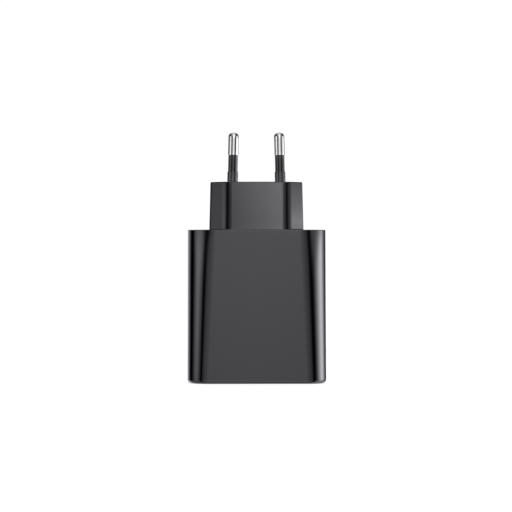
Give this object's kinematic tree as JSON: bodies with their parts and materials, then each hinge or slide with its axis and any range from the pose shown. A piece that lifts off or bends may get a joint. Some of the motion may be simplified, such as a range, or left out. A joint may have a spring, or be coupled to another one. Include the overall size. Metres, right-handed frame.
{
  "type": "usb wall charger",
  "caption": "Glossy black wall charger block with a hexagonal two-pin mains plug at one end and USB-A and USB-C sockets at the other.",
  "frame": {"origin": "centre of the flat port face that the charger stands on", "axes": "+Z from the port face towards the mains pins, X across the width, -Y is the front broad face"},
  "size_m": [0.0532, 0.028, 0.0965],
  "materials": {
    "housing_gloss": "high gloss",
    "plug_gloss": "high gloss",
    "pin_metal": "bright nickel plate",
    "sleeve_plastic": "satin",
    "spring_brass": "rolled strip",
    "board": "solder mask",
    "fuse_body": "moulded",
    "thermistor_coat": "dipped coating",
    "ferrite": "sintered",
    "copper_wire": "enamelled copper",
    "film_capacitor": "moulded box",
    "ic_plastic": "moulded epoxy",
    "can_aluminium": "drawn",
    "can_sleeve": "shrink film",
    "bung_rubber": "moulded",
    "blue_ceramic": "dipped coating",
    "coupler_plastic": "moulded epoxy",
    "bobbin_plastic": "phenolic",
    "triple_wire": "insulated wire",
    "tape": "polyester film",
    "tinned_wire": "tinned",
    "resistor_ceramic": "sintered",
    "capacitor_ceramic": "sintered",
    "sheet_plastic": "film",
    "socket_steel": "nickel plated",
    "tongue_white": "moulded",
    "tongue_black": "moulded",
    "contact_gold": "gold plated"
  },
  "bodies": {
    "charger": {"housing": "housing_gloss", "plug_cover": "plug_gloss", "live_pin": "pin_metal", "neutral_pin": "pin_metal", "live_pin_sleeve": "sleeve_plastic", "neutral_pin_sleeve": "sleeve_plastic", "live_contact_spring": "spring_brass", "neutral_contact_spring": "spring_brass", "main_board": "board", "fuse": "fuse_body", "inrush_thermistor": "thermistor_coat", "choke_core": "ferrite", "choke_windings": "copper_wire", "x_capacitor": "film_capacitor", "bridge_rectifier": "ic_plastic", "bulk_capacitor_cans": "can_aluminium", "bulk_capacitor_sleeves": "can_sleeve", "bulk_capacitor_bungs": "bung_rubber", "y_capacitor": "blue_ceramic", "optocoupler": "coupler_plastic", "output_capacitor_cans": "can_aluminium", "output_capacitor_bases": "ic_plastic", "transformer_core_upper": "ferrite", "transformer_core_lower": "ferrite", "transformer_bobbin": "bobbin_plastic", "transformer_primary": "copper_wire", "transformer_secondary": "triple_wire", "transformer_tape": "tape", "transformer_pins": "tinned_wire", "component_leads": "tinned_wire", "primary_switch_ic": "ic_plastic", "sync_rectifier_ic": "ic_plastic", "chip_resistors": "resistor_ceramic", "insulating_sheet": "sheet_plastic", "port_board": "board", "port_controller_ic": "ic_plastic", "chip_capacitors": "capacitor_ceramic", "ic_leads": "tinned_wire", "usb_a_shell": "socket_steel", "usb_a_insulator": "tongue_white", "usb_a_contact_tails": "contact_gold", "usb_c_shell": "socket_steel", "usb_c_insulator": "tongue_black", "usb_c_contacts": "contact_gold", "usb_c_mid_plate": "socket_steel"},
    "finger_power": {"usb_a_finger_power": "contact_gold"},
    "finger_data_minus": {"usb_a_finger_data_minus": "contact_gold"},
    "finger_data_plus": {"usb_a_finger_data_plus": "contact_gold"},
    "finger_ground": {"usb_a_finger_ground": "contact_gold"}
  },
  "joints": [
    {"name": "finger_power_flex", "type": "hinge", "parent": "charger", "child": "finger_power", "pos_m": [-0.012, 0.00025, 0.0116], "axis": [1, 0, 0], "range_deg": [0, 3.4], "stiffness_Nm_per_rad": 0.12},
    {"name": "finger_data_minus_flex", "type": "hinge", "parent": "charger", "child": "finger_data_minus", "pos_m": [-0.0095, 0.00025, 0.0116], "axis": [1, 0, 0], "range_deg": [0, 3.4], "stiffness_Nm_per_rad": 0.12},
    {"name": "finger_data_plus_flex", "type": "hinge", "parent": "charger", "child": "finger_data_plus", "pos_m": [-0.0075, 0.00025, 0.0116], "axis": [1, 0, 0], "range_deg": [0, 3.4], "stiffness_Nm_per_rad": 0.12},
    {"name": "finger_ground_flex", "type": "hinge", "parent": "charger", "child": "finger_ground", "pos_m": [-0.005, 0.00025, 0.0116], "axis": [1, 0, 0], "range_deg": [0, 3.4], "stiffness_Nm_per_rad": 0.12}
  ]
}
